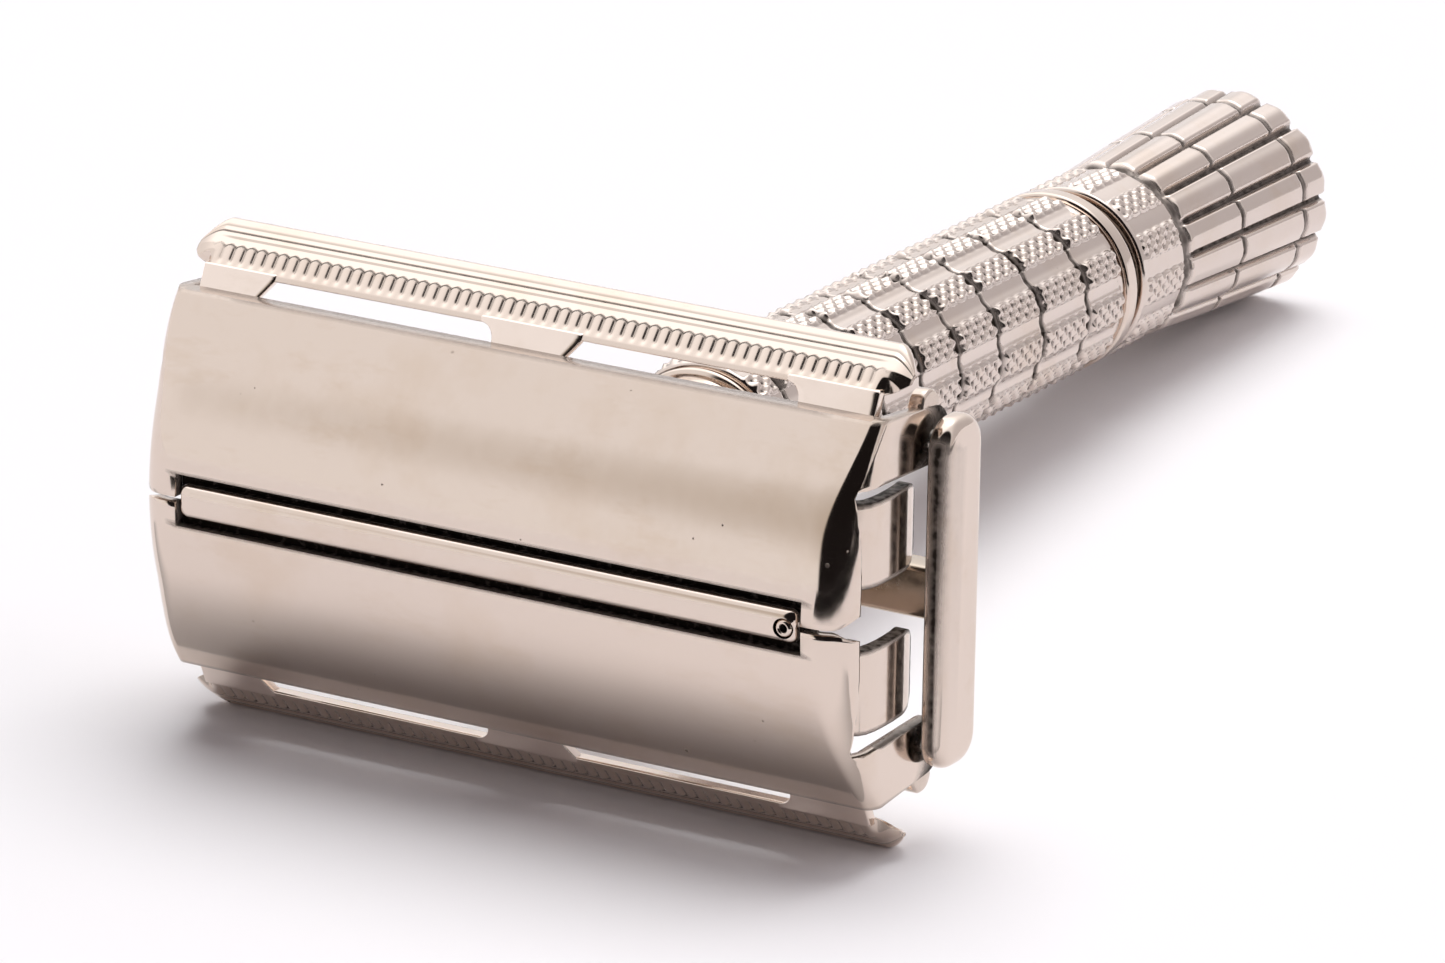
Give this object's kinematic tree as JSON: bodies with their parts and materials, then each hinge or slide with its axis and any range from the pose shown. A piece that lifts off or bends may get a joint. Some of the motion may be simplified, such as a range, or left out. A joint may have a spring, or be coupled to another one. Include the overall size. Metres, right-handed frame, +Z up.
{
  "type": "safety razor",
  "caption": "Twist-to-open double-edge safety razor: two doors over a fluted safety-bar guard, and a knurled handle with a flared ribbed knob, lying on its side.",
  "frame": {"origin": "bottom centre of the bounding box of the razor lying on its side on a flat surface", "axes": "+Y along the razor from the head to the knob, +X along the head, +Z up"},
  "size_m": [0.0454, 0.0828, 0.027],
  "materials": {
    "nickel_plate": "polished nickel plate, lightly worn",
    "nickel_bright": "bright polished nickel plate, lightly pitted",
    "nickel_worn": "dull worn nickel plate",
    "brass_turned": "turned brass",
    "steel": "plain steel"
  },
  "bodies": {
    "handle": {"guard_plate": "nickel_plate", "centre_bar": "nickel_bright", "bar_rivet_left": "steel", "bar_rivet_right": "steel", "neck_collar": "nickel_worn", "handle_barrel": "nickel_plate", "rod_guide_bush": "brass_turned", "barrel_end_ring": "nickel_bright", "spring_washer": "steel"},
    "knob": {"twist_knob": "nickel_plate", "drive_nut": "brass_turned", "knob_end_plug": "nickel_plate"},
    "carrier": {"push_rod": "steel", "carrier_bar": "nickel_worn", "end_cap_left": "nickel_bright", "end_cap_right": "nickel_bright", "hinge_pin_upper_left": "steel", "hinge_pin_upper_right": "steel", "hinge_pin_lower_left": "steel", "hinge_pin_lower_right": "steel"},
    "door_upper": {"door_upper": "nickel_bright"},
    "door_lower": {"door_lower": "nickel_bright"}
  },
  "joints": [
    {"name": "knob_twist", "type": "hinge", "parent": "handle", "child": "knob", "pos_m": [0, 0.03058, 0.00707], "axis": [0, -0.9951, 0.099], "range_deg": [0, 720]},
    {"name": "carrier_lift", "type": "slide", "parent": "handle", "child": "carrier", "axis": [0, -0.9951, 0.099], "range_m": [0, 0.0054]},
    {"name": "door_upper_swing", "type": "hinge", "parent": "carrier", "child": "door_upper", "pos_m": [0, -0.03162, 0.0213], "axis": [-1, 0, 0], "range_deg": [0, 85]},
    {"name": "door_lower_swing", "type": "hinge", "parent": "carrier", "child": "door_lower", "pos_m": [0, -0.0332, 0.00538], "axis": [1, 0, 0], "range_deg": [0, 85]}
  ],
  "couplings": [
    {"joint": "carrier_lift", "follows": "knob_twist", "m_per_rad": 0.000429},
    {"joint": "door_upper_swing", "follows": "knob_twist", "ratio": 0.118},
    {"joint": "door_lower_swing", "follows": "knob_twist", "ratio": 0.118}
  ]
}
